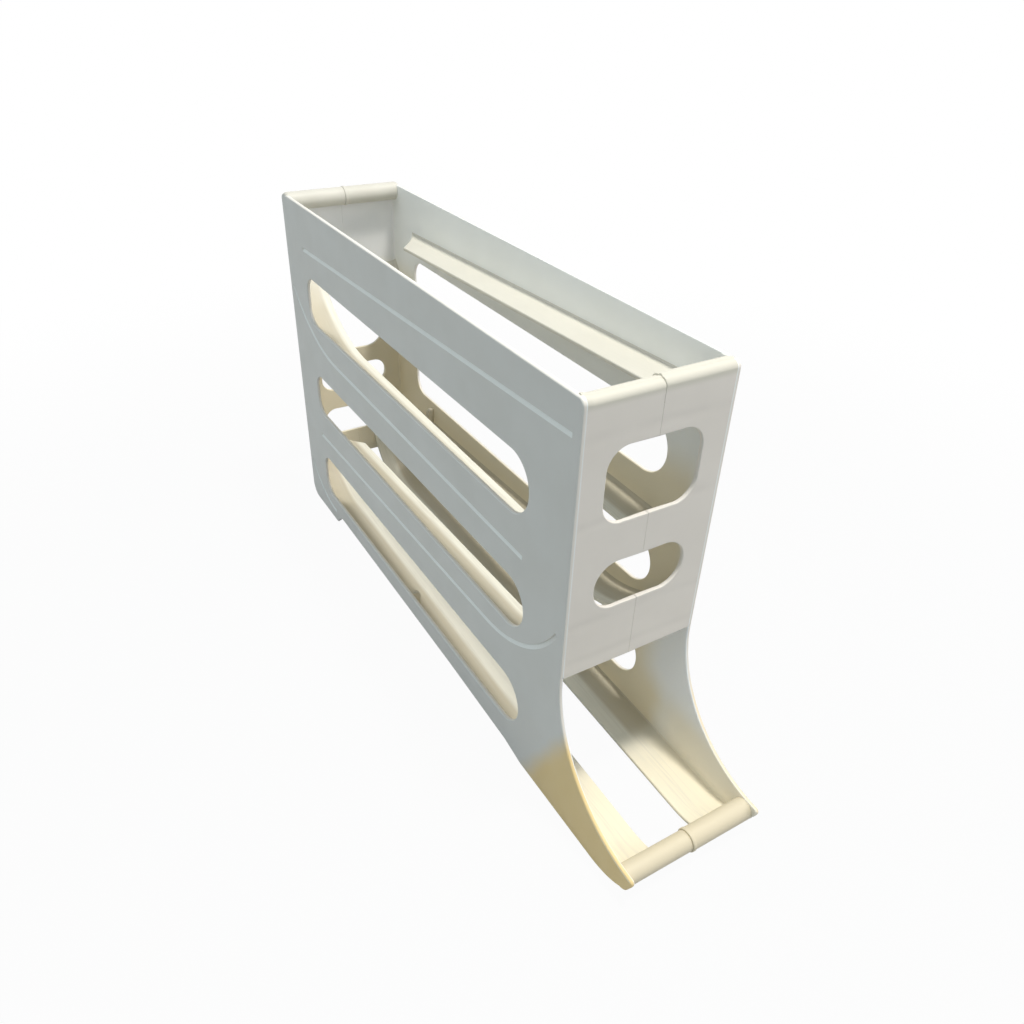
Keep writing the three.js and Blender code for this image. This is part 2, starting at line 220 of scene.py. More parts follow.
class Bench:
    """One mesh that is drawn, pushed, cut and rounded in edit mode."""

    def __init__(self) -> None:
        """Starts an empty mesh from a plane and enters edit mode."""
        bpy.ops.object.select_all(action="DESELECT")
        bpy.ops.mesh.primitive_plane_add(size=1.0)
        self.piece = bpy.context.active_object
        bpy.ops.object.mode_set(mode="EDIT")
        bpy.ops.mesh.delete(type="VERT")

    def mesh(self) -> bmesh.types.BMesh:
        """The mesh being edited."""
        return bmesh.from_edit_mesh(self.piece.data)

    def clear(self, kind: Kind) -> None:
        """Deselects everything, ready for a selection of one kind."""
        bpy.ops.mesh.select_mode(type=kind.name)
        bpy.ops.mesh.select_all(action="DESELECT")

    def select(self, kind: Kind, test: Callable[[Element], bool]) -> bool:
        """Selects the elements of one kind that a test picks, and nothing else.

        Args:
            kind: The kind.
            test: Says of an element whether it is wanted.

        Returns:
            Whether any is selected.
        """
        self.clear(kind)
        mesh = self.mesh()
        picked = [element for element in getattr(mesh, kind.value) if test(element)]
        for element in picked:
            element.select = True
        mesh.select_flush_mode()
        bmesh.update_edit_mesh(self.piece.data)
        return bool(picked)

    def select_points(self, places: Sequence[Vector]) -> None:
        """Selects the vertices that lie at the given places."""
        given = among(places)
        self.select(Kind.VERT, lambda vertex: given(vertex.co))

    def select_open_edges(self, *lines: Sequence[Vector]) -> None:
        """Selects the edges that bound only one face, on any of some lines, or all where none is given."""
        tests = [among(line) for line in lines]
        self.select(Kind.EDGE, lambda edge: edge.is_boundary and (
            not tests or any(all(test(end.co) for end in edge.verts) for test in tests)))

    def weld(self) -> None:
        """Merges vertices that lie on each other."""
        bpy.ops.mesh.select_all(action="SELECT")
        bpy.ops.mesh.remove_doubles(threshold=NEAR / 10)

    def face_out(self) -> None:
        """Turns all faces outwards."""
        bpy.ops.mesh.select_all(action="SELECT")
        bpy.ops.mesh.normals_make_consistent(inside=False)

    def face_linked_out(self) -> None:
        """Turns the faces that hang together with the selected ones outwards."""
        bpy.ops.mesh.select_linked()
        bpy.ops.mesh.normals_make_consistent(inside=False)

    def draw(self, square: Square, depth: float, outline: Sequence[Point]) -> None:
        """Draws a closed line, point by point from a plane merged into its first one, and fills it.

        Args:
            square: The axis that the drawing plane is square to.
            depth: Where the plane cuts that axis.
            outline: The line's points, without a repeat of the first.
        """
        places = [square.place(*point, depth) for point in outline]
        self.clear(Kind.VERT)
        bpy.ops.mesh.primitive_plane_add(size=SPECK, location=places[0])
        bpy.ops.mesh.merge(type="CENTER")
        for last, place in zip(places, places[1:]):
            bpy.ops.mesh.extrude_vertices_move(TRANSFORM_OT_translate={"value": place - last})
        self.select_points([places[0], places[-1]])
        bpy.ops.mesh.edge_face_add()
        self.select_points(places)
        bpy.ops.mesh.edge_face_add()

    def push(self, move: Sequence[float]) -> None:
        """Extrudes the selected faces."""
        bpy.ops.mesh.extrude_region_move(TRANSFORM_OT_translate={"value": tuple(move)})

    def turn(self, angle: float, place: Point) -> None:
        """Turns what is selected about a line along X. A positive angle lifts what lies at its back."""
        bpy.ops.transform.rotate(value=-angle, orient_axis="X", center_override=(0, *place))

    def block(self, square: Square, start: float, end: float, outline: Sequence[Point]) -> None:
        """Draws an outline and pushes it along the axis that it is square to.

        Args:
            square: The axis.
            start: Where the outline is drawn on it.
            end: Where it is pushed to.
            outline: The outline's points.
        """
        self.draw(square, start, outline)
        self.push(square.place(0, 0, end - start))
        self.face_linked_out()

    def sweep(self, section: Sequence[Point], path: Sequence[Point]) -> None:
        """Pushes a section along a path in the plane square to X, and keeps it square to the path.

        Args:
            section: Points across and above the path's own line.
            path: The path's points along Y and Z.
        """
        angles = headings(path)
        start_y, start_z = path[0]
        self.draw(Square.Y, start_y, [(across, start_z + above) for across, above in section])
        self.turn(angles[0], path[0])
        for i, (last, place) in enumerate(zip(path, path[1:])):
            self.push((0, place[0] - last[0], place[1] - last[1]))
            self.turn(angles[i + 1] - angles[i], place)
        self.face_linked_out()

    def trim(self, place: float, way: int) -> None:
        """Cuts off all that lies past a Y place, towards one side of it, and closes the cut."""
        bpy.ops.mesh.select_all(action="SELECT")
        bpy.ops.mesh.bisect(plane_co=(0, place, 0), plane_no=(0, way, 0), use_fill=True, clear_outer=True)

    def round_edges(self, test: EdgeTest, radius: float, segments: int = 3) -> None:
        """Rounds the edges that are a corner between two faces and that a test picks.

        Args:
            test: Says of an edge's two ends whether it is wanted.
            radius: How far the rounding reaches.
            segments: How many flats it has.
        """
        found = self.select(Kind.EDGE, lambda edge: (
            len(edge.link_faces) == 2 and edge.calc_face_angle() > SHARP_ANGLE
            and test(edge.verts[0].co, edge.verts[1].co)))
        if found:
            bpy.ops.mesh.bevel(
                offset=radius, offset_type="OFFSET", segments=segments, affect="EDGES",
                clamp_overlap=False, loop_slide=False)

    def rod(self, square: Square, centre: Point, radius: float, ends: Point, sides: int) -> None:
        """Adds a round rod along X or Z, which is left selected.

        Args:
            square: The axis that the rod lies along.
            centre: Where the rod's axis passes, along the other two axes.
            radius: Its radius.
            ends: Where it starts and ends on its axis.
            sides: How many sides it has.
        """
        self.clear(Kind.FACE)
        bpy.ops.mesh.primitive_cylinder_add(
            vertices=sides, radius=radius, depth=ends[1] - ends[0],
            location=square.place(*centre, sum(ends) / 2),
            rotation=(0, QUARTER if square is Square.X else 0, 0))

    def grow(self, rings: Sequence[Point], centre: Point, size: float) -> None:
        """Pushes the selected end face along X through rings of other sizes.

        Args:
            rings: For each ring, where it lies on X and how large it is.
            centre: The point along Y and Z about which the face grows or shrinks.
            size: How large the face is to start with.
        """
        place = next(vertex.co.x for vertex in self.mesh().verts if vertex.select)
        for next_place, next_size in rings:
            self.push((next_place - place, 0, 0))
            share = next_size / size
            bpy.ops.transform.resize(value=(1, share, share), center_override=(0, *centre))
            place, size = next_place, next_size

    def combine(self, operation: str) -> None:
        """Joins what is selected to the rest, or cuts it out of the rest."""
        bpy.ops.mesh.intersect_boolean(operation=operation, solver="EXACT")

    def mirror(self) -> None:
        """Turns a piece of the right half into the left half's, with its faces pointing out."""
        bpy.ops.mesh.select_all(action="SELECT")
        bpy.ops.transform.resize(value=(-1, 1, 1), center_override=(0, 0, 0))
        self.face_out()

    def release(self, name: str, node: str, material: bpy.types.Material) -> None:
        """Ends the shaping and hands the piece over.

        Args:
            name: The finished piece's name.
            node: The frame node that it stands for.
            material: Its material.
        """
        self.weld()
        bpy.ops.mesh.select_all(action="DESELECT")
        bpy.ops.object.mode_set(mode="OBJECT")
        piece = self.piece
        piece.name = piece.data.name = name
        bpy.ops.object.select_all(action="DESELECT")
        piece.select_set(True)
        bpy.context.view_layer.objects.active = piece
        bpy.ops.object.shade_smooth_by_angle(angle=SMOOTH_ANGLE, keep_sharp_edges=True)
        weighted = piece.modifiers.new("even_normals", "WEIGHTED_NORMAL")
        weighted.keep_sharp = True
        bpy.ops.object.modifier_apply(modifier=weighted.name)
        piece.data.materials.clear()
        piece.data.materials.append(material)
        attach(piece, BODY)
        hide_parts(node)
        LOG.info("%s: %d faces", name, len(piece.data.polygons))


class Tree:
    """A node tree that is laid out in code."""

    def __init__(self, tree: bpy.types.NodeTree) -> None:
        """Takes over a tree and empties it."""
        self.tree = tree
        tree.nodes.clear()

    def node(self, kind: str, inputs: dict[str | int, object] | None = None,
             **settings: object) -> bpy.types.Node:
        """Adds a node.

        Args:
            kind: Its type.
            inputs: By input, the socket that feeds it or its plain value.
            settings: Its properties.

        Returns:
            The node.
        """
        node = self.tree.nodes.new(kind)
        for name, value in settings.items():
            setattr(node, name, value)
        for name, value in (inputs or {}).items():
            if isinstance(value, Socket):
                self.tree.links.new(value, node.inputs[name])
            else:
                node.inputs[name].default_value = value
        return node

    def place(self) -> Socket:
        """The place in the piece's own space."""
        return self.node("ShaderNodeTexCoord").outputs["Object"]

    def axes(self, vector: Socket) -> list[Socket]:
        """The three numbers of a vector."""
        return list(self.node("ShaderNodeSeparateXYZ", {0: vector}).outputs)

    def math(self, operation: str, *terms: Socket | float) -> Socket:
        """The result of a Math node."""
        return self.node("ShaderNodeMath", dict(enumerate(terms)), operation=operation).outputs[0]

    def add(self, first: Socket, second: Socket) -> Socket:
        """The sum of two values."""
        return self.math("ADD", first, second)

    def times(self, *terms: Socket | float) -> Socket:
        """The product of some values."""
        return reduce(lambda first, second: self.math("MULTIPLY", first, second), terms)

    def rest(self, mask: Socket) -> Socket:
        """What a mask leaves out."""
        return self.math("SUBTRACT", 1.0, mask)

    def noise(self, place: Socket, grade: Point) -> Socket:
        """A noise of a scale and a detail."""
        inputs = {"Vector": place, "Scale": grade[0], "Detail": grade[1]}
        return self.node("ShaderNodeTexNoise", inputs).outputs["Fac"]

    def sway(self, place: Socket, grade: Point, size: float) -> Socket:
        """A noise about nought, as a length."""
        return self.times(self.math("SUBTRACT", self.noise(place, grade), 0.5), size)

    def ramp(self, value: Socket, source: Point, result: Point = (0, 1), smooth: bool = False) -> Socket:
        """Maps one range of a value to another.

        Args:
            value: The value.
            source: The range that it comes from.
            result: The range that it is mapped to, which also limits it.
            smooth: Whether the ends of the range are eased.

        Returns:
            The mapped value.
        """
        names = ("From Min", "From Max", "To Min", "To Max")
        inputs = {"Value": value, **dict(zip(names, (*source, *result)))}
        easing = "SMOOTHSTEP" if smooth else "LINEAR"
        return self.node("ShaderNodeMapRange", inputs, interpolation_type=easing).outputs["Result"]

    def fade(self, value: Socket, limits: Point) -> Socket:
        """A soft mask, from nothing at the first limit to full at the second."""
        return self.ramp(value, limits, smooth=True)

    def beside(self, value: Socket, centre: Socket, reach: Socket) -> Socket:
        """A soft mask, full at a value's centre and nothing past a reach."""
        offset = self.math("ABSOLUTE", self.math("SUBTRACT", value, centre))
        return self.ramp(self.math("DIVIDE", offset, reach), (0, 1), (1, 0), True)

    def mix(self, mask: Socket, low: Socket | Tone, high: Tone) -> Socket:
        """Mixes two tones by a mask of the second."""
        inputs = {MIX_MASK: mask, MIX_LOW: low if isinstance(low, Socket) else (*low, 1), MIX_HIGH: (*high, 1)}
        return self.node("ShaderNodeMix", inputs, data_type="RGBA").outputs[MIX_RESULT]

    def seen(self) -> Socket:
        """Masks the rays that see the background: straight from the camera, or by a reflection.

        Returns:
            The mask.
        """
        rays = self.node("ShaderNodeLightPath").outputs
        seen = reduce(self.add, (rays[f"Is {kind} Ray"] for kind in ("Camera", "Glossy", "Transmission")))
        return self.math("MINIMUM", seen, 1.0)

    def end(self, kind: str, mask: Socket, first: bpy.types.Node, second: bpy.types.Node) -> None:
        """Mixes two shaders by a mask of the second, and ends the tree with them."""
        mix = self.node("ShaderNodeMixShader", {0: mask, 1: first.outputs[0], 2: second.outputs[0]})
        self.node(kind, {0: mix.outputs[0]})


class Effect(Enum):
    """Shader node groups that more than one material uses."""

    SKIN = "moulded_skin"
    BAND = "sink_band"
    RUB = "rolling_rub"
    WARM = "tray_warmth"

    def use(self, tree: Tree, **values: float) -> bpy.types.NodeOutputs:
        """Puts the effect in a material, with the numbers of its inputs."""
        return tree.node("ShaderNodeGroup", values, node_tree=bpy.data.node_groups[self.value]).outputs

    def start(self, *names: str) -> tuple[Tree, bpy.types.NodeOutputs]:
        """Starts the effect's node group.

        Args:
            names: The names of its number inputs.

        Returns:
            Its tree, and its inputs inside that.
        """
        group = bpy.data.node_groups.new(self.value, "ShaderNodeTree")
        for name in names:
            group.interface.new_socket(name=name, in_out="INPUT", socket_type="NodeSocketFloat")
        tree = Tree(group)
        return tree, tree.node("NodeGroupInput").outputs

    def give(self, tree: Tree, **values: Socket) -> None:
        """Ends the effect's node group.

        Args:
            tree: Its tree.
            values: Its outputs.
        """
        for name in values:
            tree.tree.interface.new_socket(name=name, in_out="OUTPUT", socket_type="NodeSocketFloat")
        tree.node("NodeGroupOutput", values)


@dataclass(frozen=True)
class Skin:
    """The surface of moulded plastic: a fine grain, shallow waves, and soft clouds of tone and gloss.

    Here and below a noise is a scale and a detail, and the limits are those of a ramp.
    """

    grain_noise: Point = (1500, 2)
    wave_noise: Point = (26, 1)
    cloud_noise: Point = (34, 3)
    cloud_limits: Point = (0.35, 0.65)
    gloss_noise: Point = (90, 4)
    gloss_limits: Point = (0.3, 0.7)

    def make(self) -> None:
        """Builds the effect's node group."""
        tree, given = Effect.SKIN.start("grain", "waves")
        place = tree.place()
        grain = tree.times(tree.noise(place, self.grain_noise), given["grain"])
        waves = tree.times(tree.noise(place, self.wave_noise), given["waves"])
        clouds = tree.fade(tree.noise(place, self.cloud_noise), self.cloud_limits)
        gloss = tree.ramp(tree.noise(place, self.gloss_noise), self.gloss_limits)
        Effect.SKIN.give(tree, height=tree.add(grain, waves), clouds=clouds, gloss=gloss)


@dataclass(frozen=True)
class Band:
    """A level sink line on an upright wall, which fades in and out across it."""

    sway_noise: Point = (40, 1)
    sway: float = 0.003
    strength_noise: Point = (55, 2)
    strength_limits: Point = (0.3, 0.6)
    least_strength: float = 0.25

    def make(self) -> None:
        """Builds the effect's node group."""
        tree, given = Effect.BAND.start("level", "reach")
        place = tree.place()
        level = tree.add(given["level"], tree.sway(place, self.sway_noise, self.sway))
        line = tree.beside(tree.axes(place)[2], level, given["reach"])
        noise = tree.noise(place, self.strength_noise)
        strength = tree.ramp(noise, self.strength_limits, (self.least_strength, 1))
        Effect.BAND.give(tree, mask=tree.times(line, strength))


@dataclass(frozen=True)
class Rub:
    """Fine streaks along the holder, where eggs have rolled."""

    stretch: Place = (1, 0.04, 0.1)
    streak_noise: Point = (900, 3)
    streak_limits: Point = (0.45, 0.65)

    def make(self) -> None:
        """Builds the effect's node group."""
        tree, given = Effect.RUB.start("across", "reach")
        place = tree.place()
        stretched = tree.node("ShaderNodeMapping", {"Vector": place, "Scale": self.stretch}).outputs[0]
        lane = tree.beside(tree.math("ABSOLUTE", tree.axes(place)[0]), given["across"], given["reach"])
        streaks = tree.ramp(tree.noise(stretched, self.streak_noise), self.streak_limits)
        Effect.RUB.give(tree, mask=tree.times(lane, streaks))


class Zone(Enum):
    """A zone of the holder whose tone is painted light or shade."""

    TRAY = "tray"
    THROAT = "throat"
    LIP = "lip"
    CORE = "core"
    CORNER = "corner"
    OUTSIDE = "outside"
    # Painted highlight on the panels' outer edges.
    EDGE = "edge"
    GROOVE = "groove"
    CREST = "crest"


@dataclass(frozen=True)
class PaintedLight:
    """The masks of the zones of painted light and shade, by place and facing. Each pair of limits is a ramp's,
    from nothing to full.
    """

    sway_noise: Point = (60, 2)
    sway: float = 0.006
    outer_face: Point = (0.0343, 0.0347)
    sideways: Point = (0.55, 0.75)
    lip_slant: float = 0.63
    lip_reach: Point = (-0.095, -0.11)
    lip_sides: Point = (-0.01, 0.01)
    right_lip: float = 0.45
    tray_height: Point = (0.045, 0.02)
    tray_front: Point = (-0.10, -0.14)
    throat_front: Point = (-0.09, -0.115)
    throat_height: Point = (0.09, 0.075)
    core_height: Point = (0.165, 0.14)
    core_front: Point = (-0.122, -0.108)
    core_back: Point = (0.1848, 0.1842)
    corner_across: Point = (0.0195, 0.0225)
    groove_rise: Point = (0.2, 0.3)
    groove_side: Point = (0.8, 0.9)
    groove_height: Point = (0.2, 0.198)
    crest_height: Point = (0.2015, 0.2045)

    def make(self) -> None:
        """Builds the effect's node group."""
        tree, _ = Effect.WARM.start()
        place = tree.place()
        x, y, z = tree.axes(place)
        facing = tree.axes(tree.node("ShaderNodeNewGeometry").outputs["True Normal"])
        sway = tree.sway(place, self.sway_noise, self.sway)
        across, side = tree.math("ABSOLUTE", x), tree.math("ABSOLUTE", facing[0])
        outer, sideways = tree.fade(across, self.outer_face), tree.fade(side, self.sideways)
        inner, low = tree.rest(outer), tree.fade(z, self.tray_height)
        slant = tree.add(y, tree.times(z, self.lip_slant))
        reach = tree.fade(tree.add(slant, sway), self.lip_reach)
        ahead = tree.fade(tree.add(y, sway), self.throat_front)
        deep = tree.fade(tree.add(z, sway), self.core_height)
        behind = tree.fade(tree.add(y, sway), self.core_front)
        core = tree.times(deep, behind, tree.ramp(y, self.core_back), inner)
        rising, steep = tree.ramp(facing[2], self.groove_rise), tree.ramp(side, self.groove_side)
        masks = {
            # Painted warm sunlight, low on the tray at the front.
            Zone.TRAY: tree.times(low, tree.fade(y, self.tray_front)),
            # Painted cool sky light on the inner faces just above the tray, at the front.
            Zone.THROAT: tree.times(tree.rest(low), inner, ahead, tree.fade(z, self.throat_height)),
            # Painted golden glow of sunlight through the plastic on the lip's outer face, weaker on the right
            # half.
            Zone.LIP: tree.times(reach, tree.ramp(x, self.lip_sides, (1, self.right_lip)), outer),
            # Painted warm bounce light and light through the plastic, inside the holder below the top rail.
            Zone.CORE: core,
            # Painted shade on the rails next to the side panels, where the rails above keep the light off.
            Zone.CORNER: tree.times(core, tree.fade(across, self.corner_across)),
            # Painted shade on the side panels' outward faces.
            Zone.OUTSIDE: tree.times(outer, sideways),
            # Painted highlight on the edges and strips of the panels' outer side that don't face sideways.
            Zone.EDGE: tree.times(outer, tree.rest(sideways)),
            # Painted highlight on the upward-sloping floors of the panels' grooves.
            Zone.GROOVE: tree.times(rising, steep, outer, tree.ramp(z, self.groove_height)),
            # Painted shade on the top of the rim.
            Zone.CREST: tree.fade(z, self.crest_height),
        }
        Effect.WARM.give(tree, **{zone.value: mask for zone, mask in masks.items()})


@dataclass(frozen=True)
class IvoryPlastic:
    """A satin moulded plastic in one tone of ivory, with the tones of some zones of painted light and shade
    laid over it in turn.
    """

    name: str
    tone: Tone
    cloud_tone: Tone
    zones: tuple[tuple[Zone, Tone], ...]
    roughness: Point = (0.48, 0.58)
    refraction: float = 1.49
    grain: float = 0.03
    waves: float = 0.5
    bump: float = 0.00025
    outside_cloud: float = 0.85
    bands: tuple[float, ...] = ()
    band_reach: float = 0.0035
    band_shade_tone: float = 0.93
    band_strength: float = 0.5
    band_depth: float = 0.25
    rubs: tuple[Point, ...] = ()
    rub_tone: float = 0.94
    rub_strength: float = 0.4
    rub_gloss: float = 0.08

    def darker(self, share: float) -> Tone:
        """A share of the clouds' tone."""
        return tuple(channel * share for channel in self.cloud_tone)

    def make(self) -> bpy.types.Material:
        """Builds the material.

        Returns:
            The material.
        """
        material = bpy.data.materials.new(self.name)
        material.use_nodes = True
        tree = Tree(material.node_tree)
        skin = Effect.SKIN.use(tree, grain=self.grain, waves=self.waves)
        clouds, height = skin["clouds"], skin["height"]
        gloss = tree.ramp(skin["gloss"], (0, 1), self.roughness)
        colour = tree.mix(clouds, self.tone, self.cloud_tone)
        masks = Effect.WARM.use(tree)
        for zone, tone in self.zones:
            mask = masks[zone.value]
            # The painted shade on the outer faces thins a little where the clouds are.
            if zone is Zone.OUTSIDE:
                mask = tree.times(mask, tree.ramp(clouds, (0, 1), (1, self.outside_cloud)))
            colour = tree.mix(mask, colour, tone)
        for level in self.bands:
            band = Effect.BAND.use(tree, level=level, reach=self.band_reach)["mask"]
            # Painted shade darkens each sink line, besides its shallow dent.
            colour = tree.mix(tree.times(band, self.band_strength), colour, self.darker(self.band_shade_tone))
            height = tree.math("SUBTRACT", height, tree.times(band, self.band_depth))
        for across, reach in self.rubs:
            rub = Effect.RUB.use(tree, across=across, reach=reach)["mask"]
            colour = tree.mix(tree.times(rub, self.rub_strength), colour, self.darker(self.rub_tone))
            gloss = tree.math("SUBTRACT", gloss, tree.times(rub, self.rub_gloss))
        bump = tree.node("ShaderNodeBump", {"Strength": 1, "Distance": self.bump, "Height": height})
        shader = tree.node("ShaderNodeBsdfPrincipled", {
            "Base Color": colour, "Roughness": gloss, "IOR": self.refraction, "Normal": bump.outputs["Normal"]})
        tree.node("ShaderNodeOutputMaterial", {0: shader.outputs[0]})
        return material


# Painted warm sunlight on the tray.
TRAY_PAINTED_SUN = (Zone.TRAY, (0.82, 0.76, 0.60))
# Painted warm bounce light inside the holder.
CORE_PAINTED_BOUNCE = (Zone.CORE, (0.86, 0.79, 0.62))


class FinishAndLight(Enum):
    """The materials of the holder's parts: one ivory plastic, whose base tone is set apart for each part as
    painted light and shade.
    """

    # The side panels: a paler, cooler tone as painted light, with painted sunlight on the tray, painted sky
    # light above it, a painted glow through the lip, painted bounce light inside, painted shade on the outer
    # faces and painted highlights on their edges and grooves.
    PANEL = IvoryPlastic(
        "ivory_panel", (0.90, 0.915, 0.895), (0.88, 0.895, 0.87), zones=(
            (Zone.TRAY, (0.88, 0.83, 0.70)),
            (Zone.CORE, (0.87, 0.79, 0.60)),
            (Zone.OUTSIDE, (0.745, 0.74, 0.69)),
            (Zone.EDGE, (0.83, 0.795, 0.73)),
            (Zone.THROAT, (0.93, 0.955, 0.975)),
            (Zone.LIP, (0.86, 0.66, 0.32)),
            (Zone.GROOVE, (0.95, 0.98, 0.94))))
    # The front wall and rim: the plain ivory, with painted sunlight on the tray, painted bounce light inside,
    # painted shade on the rim's top and painted shade in the sink lines.
    FRONT = IvoryPlastic(
        "ivory_front", (0.82, 0.775, 0.71), (0.80, 0.755, 0.69),
        zones=(TRAY_PAINTED_SUN, CORE_PAINTED_BOUNCE, (Zone.CREST, (0.69, 0.665, 0.575))), bands=(0.1913, 0.1545, 0.1058, 0.086))
    # The back wall: a paler, cooler tone as painted light, with painted sunlight on the tray and painted bounce
    # light inside.
    BACK = IvoryPlastic(
        "ivory_back", (0.91, 0.91, 0.91), (0.89, 0.89, 0.89), zones=(TRAY_PAINTED_SUN, CORE_PAINTED_BOUNCE))
    # The bars: a darker tone as painted shade, with painted sunlight on the tray and painted bounce light
    # inside.
    BAR = IvoryPlastic(
        "ivory_bar", (0.66, 0.64, 0.57), (0.63, 0.61, 0.54), zones=((Zone.TRAY, (0.71, 0.63, 0.46)), CORE_PAINTED_BOUNCE))
    # The rails: a darker tone as painted shade, with painted sunlight on the tray, painted light inside and
    # painted shade next to the side panels; the streaks are wear.
    RAIL = IvoryPlastic(
        "ivory_rail", (0.70, 0.675, 0.59), (0.68, 0.655, 0.57), rubs=((0.021, 0.009),), zones=(
            (Zone.TRAY, (0.90, 0.83, 0.65)),
            (Zone.CORE, (0.86, 0.845, 0.75)),
            (Zone.CORNER, (0.59, 0.545, 0.43))))


@dataclass(frozen=True)
class Plan:
    """Places that all parts share, read from the frame.

    Y places of the parts are counted from the front wall's outer face, as along gives them.
    """

    inner_half: float
    half_width: float
    front: float
    back: float
    tray_front: float
    height: float
    wall: float

    @classmethod
    def from_frame(cls) -> "Plan":
        """Reads the plan from the frame's nodes.

        Returns:
            The plan.
        """
        panel_low, panel_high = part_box("right_side_panel")
        wall_low, wall_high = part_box("right_front_wall")
        return cls(
            inner_half=panel_low.x, half_width=panel_high.x, front=wall_low.y, back=panel_high.y,
            tray_front=panel_low.y, height=panel_high.z, wall=wall_high.y - wall_low.y)

    def along(self, distance: float) -> float:
        """The Y place at a distance behind the front wall's outer face."""
        return self.front + distance

    @property
    def back_inner(self) -> float:
        """The Y place of the back wall's inner face."""
        return self.back - self.wall

    @property
    def front_inner(self) -> float:
        """The Y place of the front wall's inner face."""
        return self.front + self.wall


@dataclass(frozen=True)
class Ramp:
    """A curved stretch of rail that rises to a wall."""

    radius: float
    angle: float
    foot_height: float
    steps: int = 24

    def path(self, face: float, way: int) -> Line:
        """The ramp's line.

        Args:
            face: The Y place of the wall's face.
            way: Where the wall stands, -1 for the front or 1 for the back.

        Returns:
            The line's points, from the front.
        """
        foot = face - way * self.radius * math.sin(self.angle)
        start, end = sorted((0.0, way * self.angle))
        centre = (foot, self.foot_height + self.radius)
        return round_arc(centre, self.radius, start - QUARTER, end - QUARTER, self.steps)


@dataclass(frozen=True)
class RailPlan:
    """Lines of the four rails' middle planes, in one half."""

    plan: Plan
    thickness: float = 0.002
    one_front: float = 0.19194
    one_back: float = 0.18219
    two_front: float = 0.12056
    three_back: float = 0.06069
    back_drop_gap: float = 0.028
    front_drop_gap: float = 0.031
    ramp_two: Ramp = Ramp(radius=0.085, angle=math.radians(53), foot_height=0.12346)
    ramp_three: Ramp = Ramp(radius=0.065, angle=math.radians(67), foot_height=0.0663)
    ramp_four: Ramp = Ramp(radius=0.048, angle=math.radians(63.5), foot_height=0.0084)
    lip_run: float = 0.0275
    lip_height: float = 0.016
    lip_steps: int = 24

    @property
    def back_end(self) -> float:
        """The Y place where the rails that feed a back drop end."""
        return self.plan.back_inner - self.back_drop_gap

    def one(self) -> Line:
        """The top rail's line."""
        return [(self.plan.front_inner, self.one_front), (self.back_end, self.one_back)]

    def two(self) -> Line:
        """The second rail's line, from the front drop up the back ramp."""
        start = (self.plan.front_inner + self.front_drop_gap, self.two_front)
        return [start, *self.ramp_two.path(self.plan.back_inner, 1)]

    def three(self) -> Line:
        """The third rail's line, from the front ramp to the back drop."""
        return [*self.ramp_three.path(self.plan.front_inner, -1), (self.back_end, self.three_back)]

    def lip(self) -> Line:
        """The underside of the tray lip, from its tip to the level foot."""
        centre = (self.plan.tray_front + self.lip_run, self.lip_height)
        return arc(centre, (self.lip_run, self.lip_height), 2 * QUARTER, 3 * QUARTER, self.lip_steps)

    def four(self, front_end: float) -> Line:
        """The lowest rail's line, from a Y place under the tray bar up the back ramp."""
        floor = [(along, up + self.thickness / 2) for along, up in self.lip() if along > front_end]
        return [*floor, *self.ramp_four.path(self.plan.back_inner, 1)]


@dataclass
class Part:
    """One part of one half. All parts are modelled on the right of the seam, and a left one is mirrored."""

    plan: Plan
    side: Side
    node: str
    finish_and_light: FinishAndLight
    bench: Bench = field(init=False)

    def shape(self) -> None:
        """Models the part on its bench."""
        raise NotImplementedError

    def build(self, material: bpy.types.Material) -> None:
        """Models the part and hands it over.

        Args:
            material: Its material.
        """
        self.bench = Bench()
        self.shape()
        if self.side is Side.LEFT:
            self.bench.mirror()
        name = f"{self.side.value}_{SHORT_NAMES.get(self.node, self.node)}_shell"
        self.bench.release(name, f"{self.side.value}_{self.node}", material)


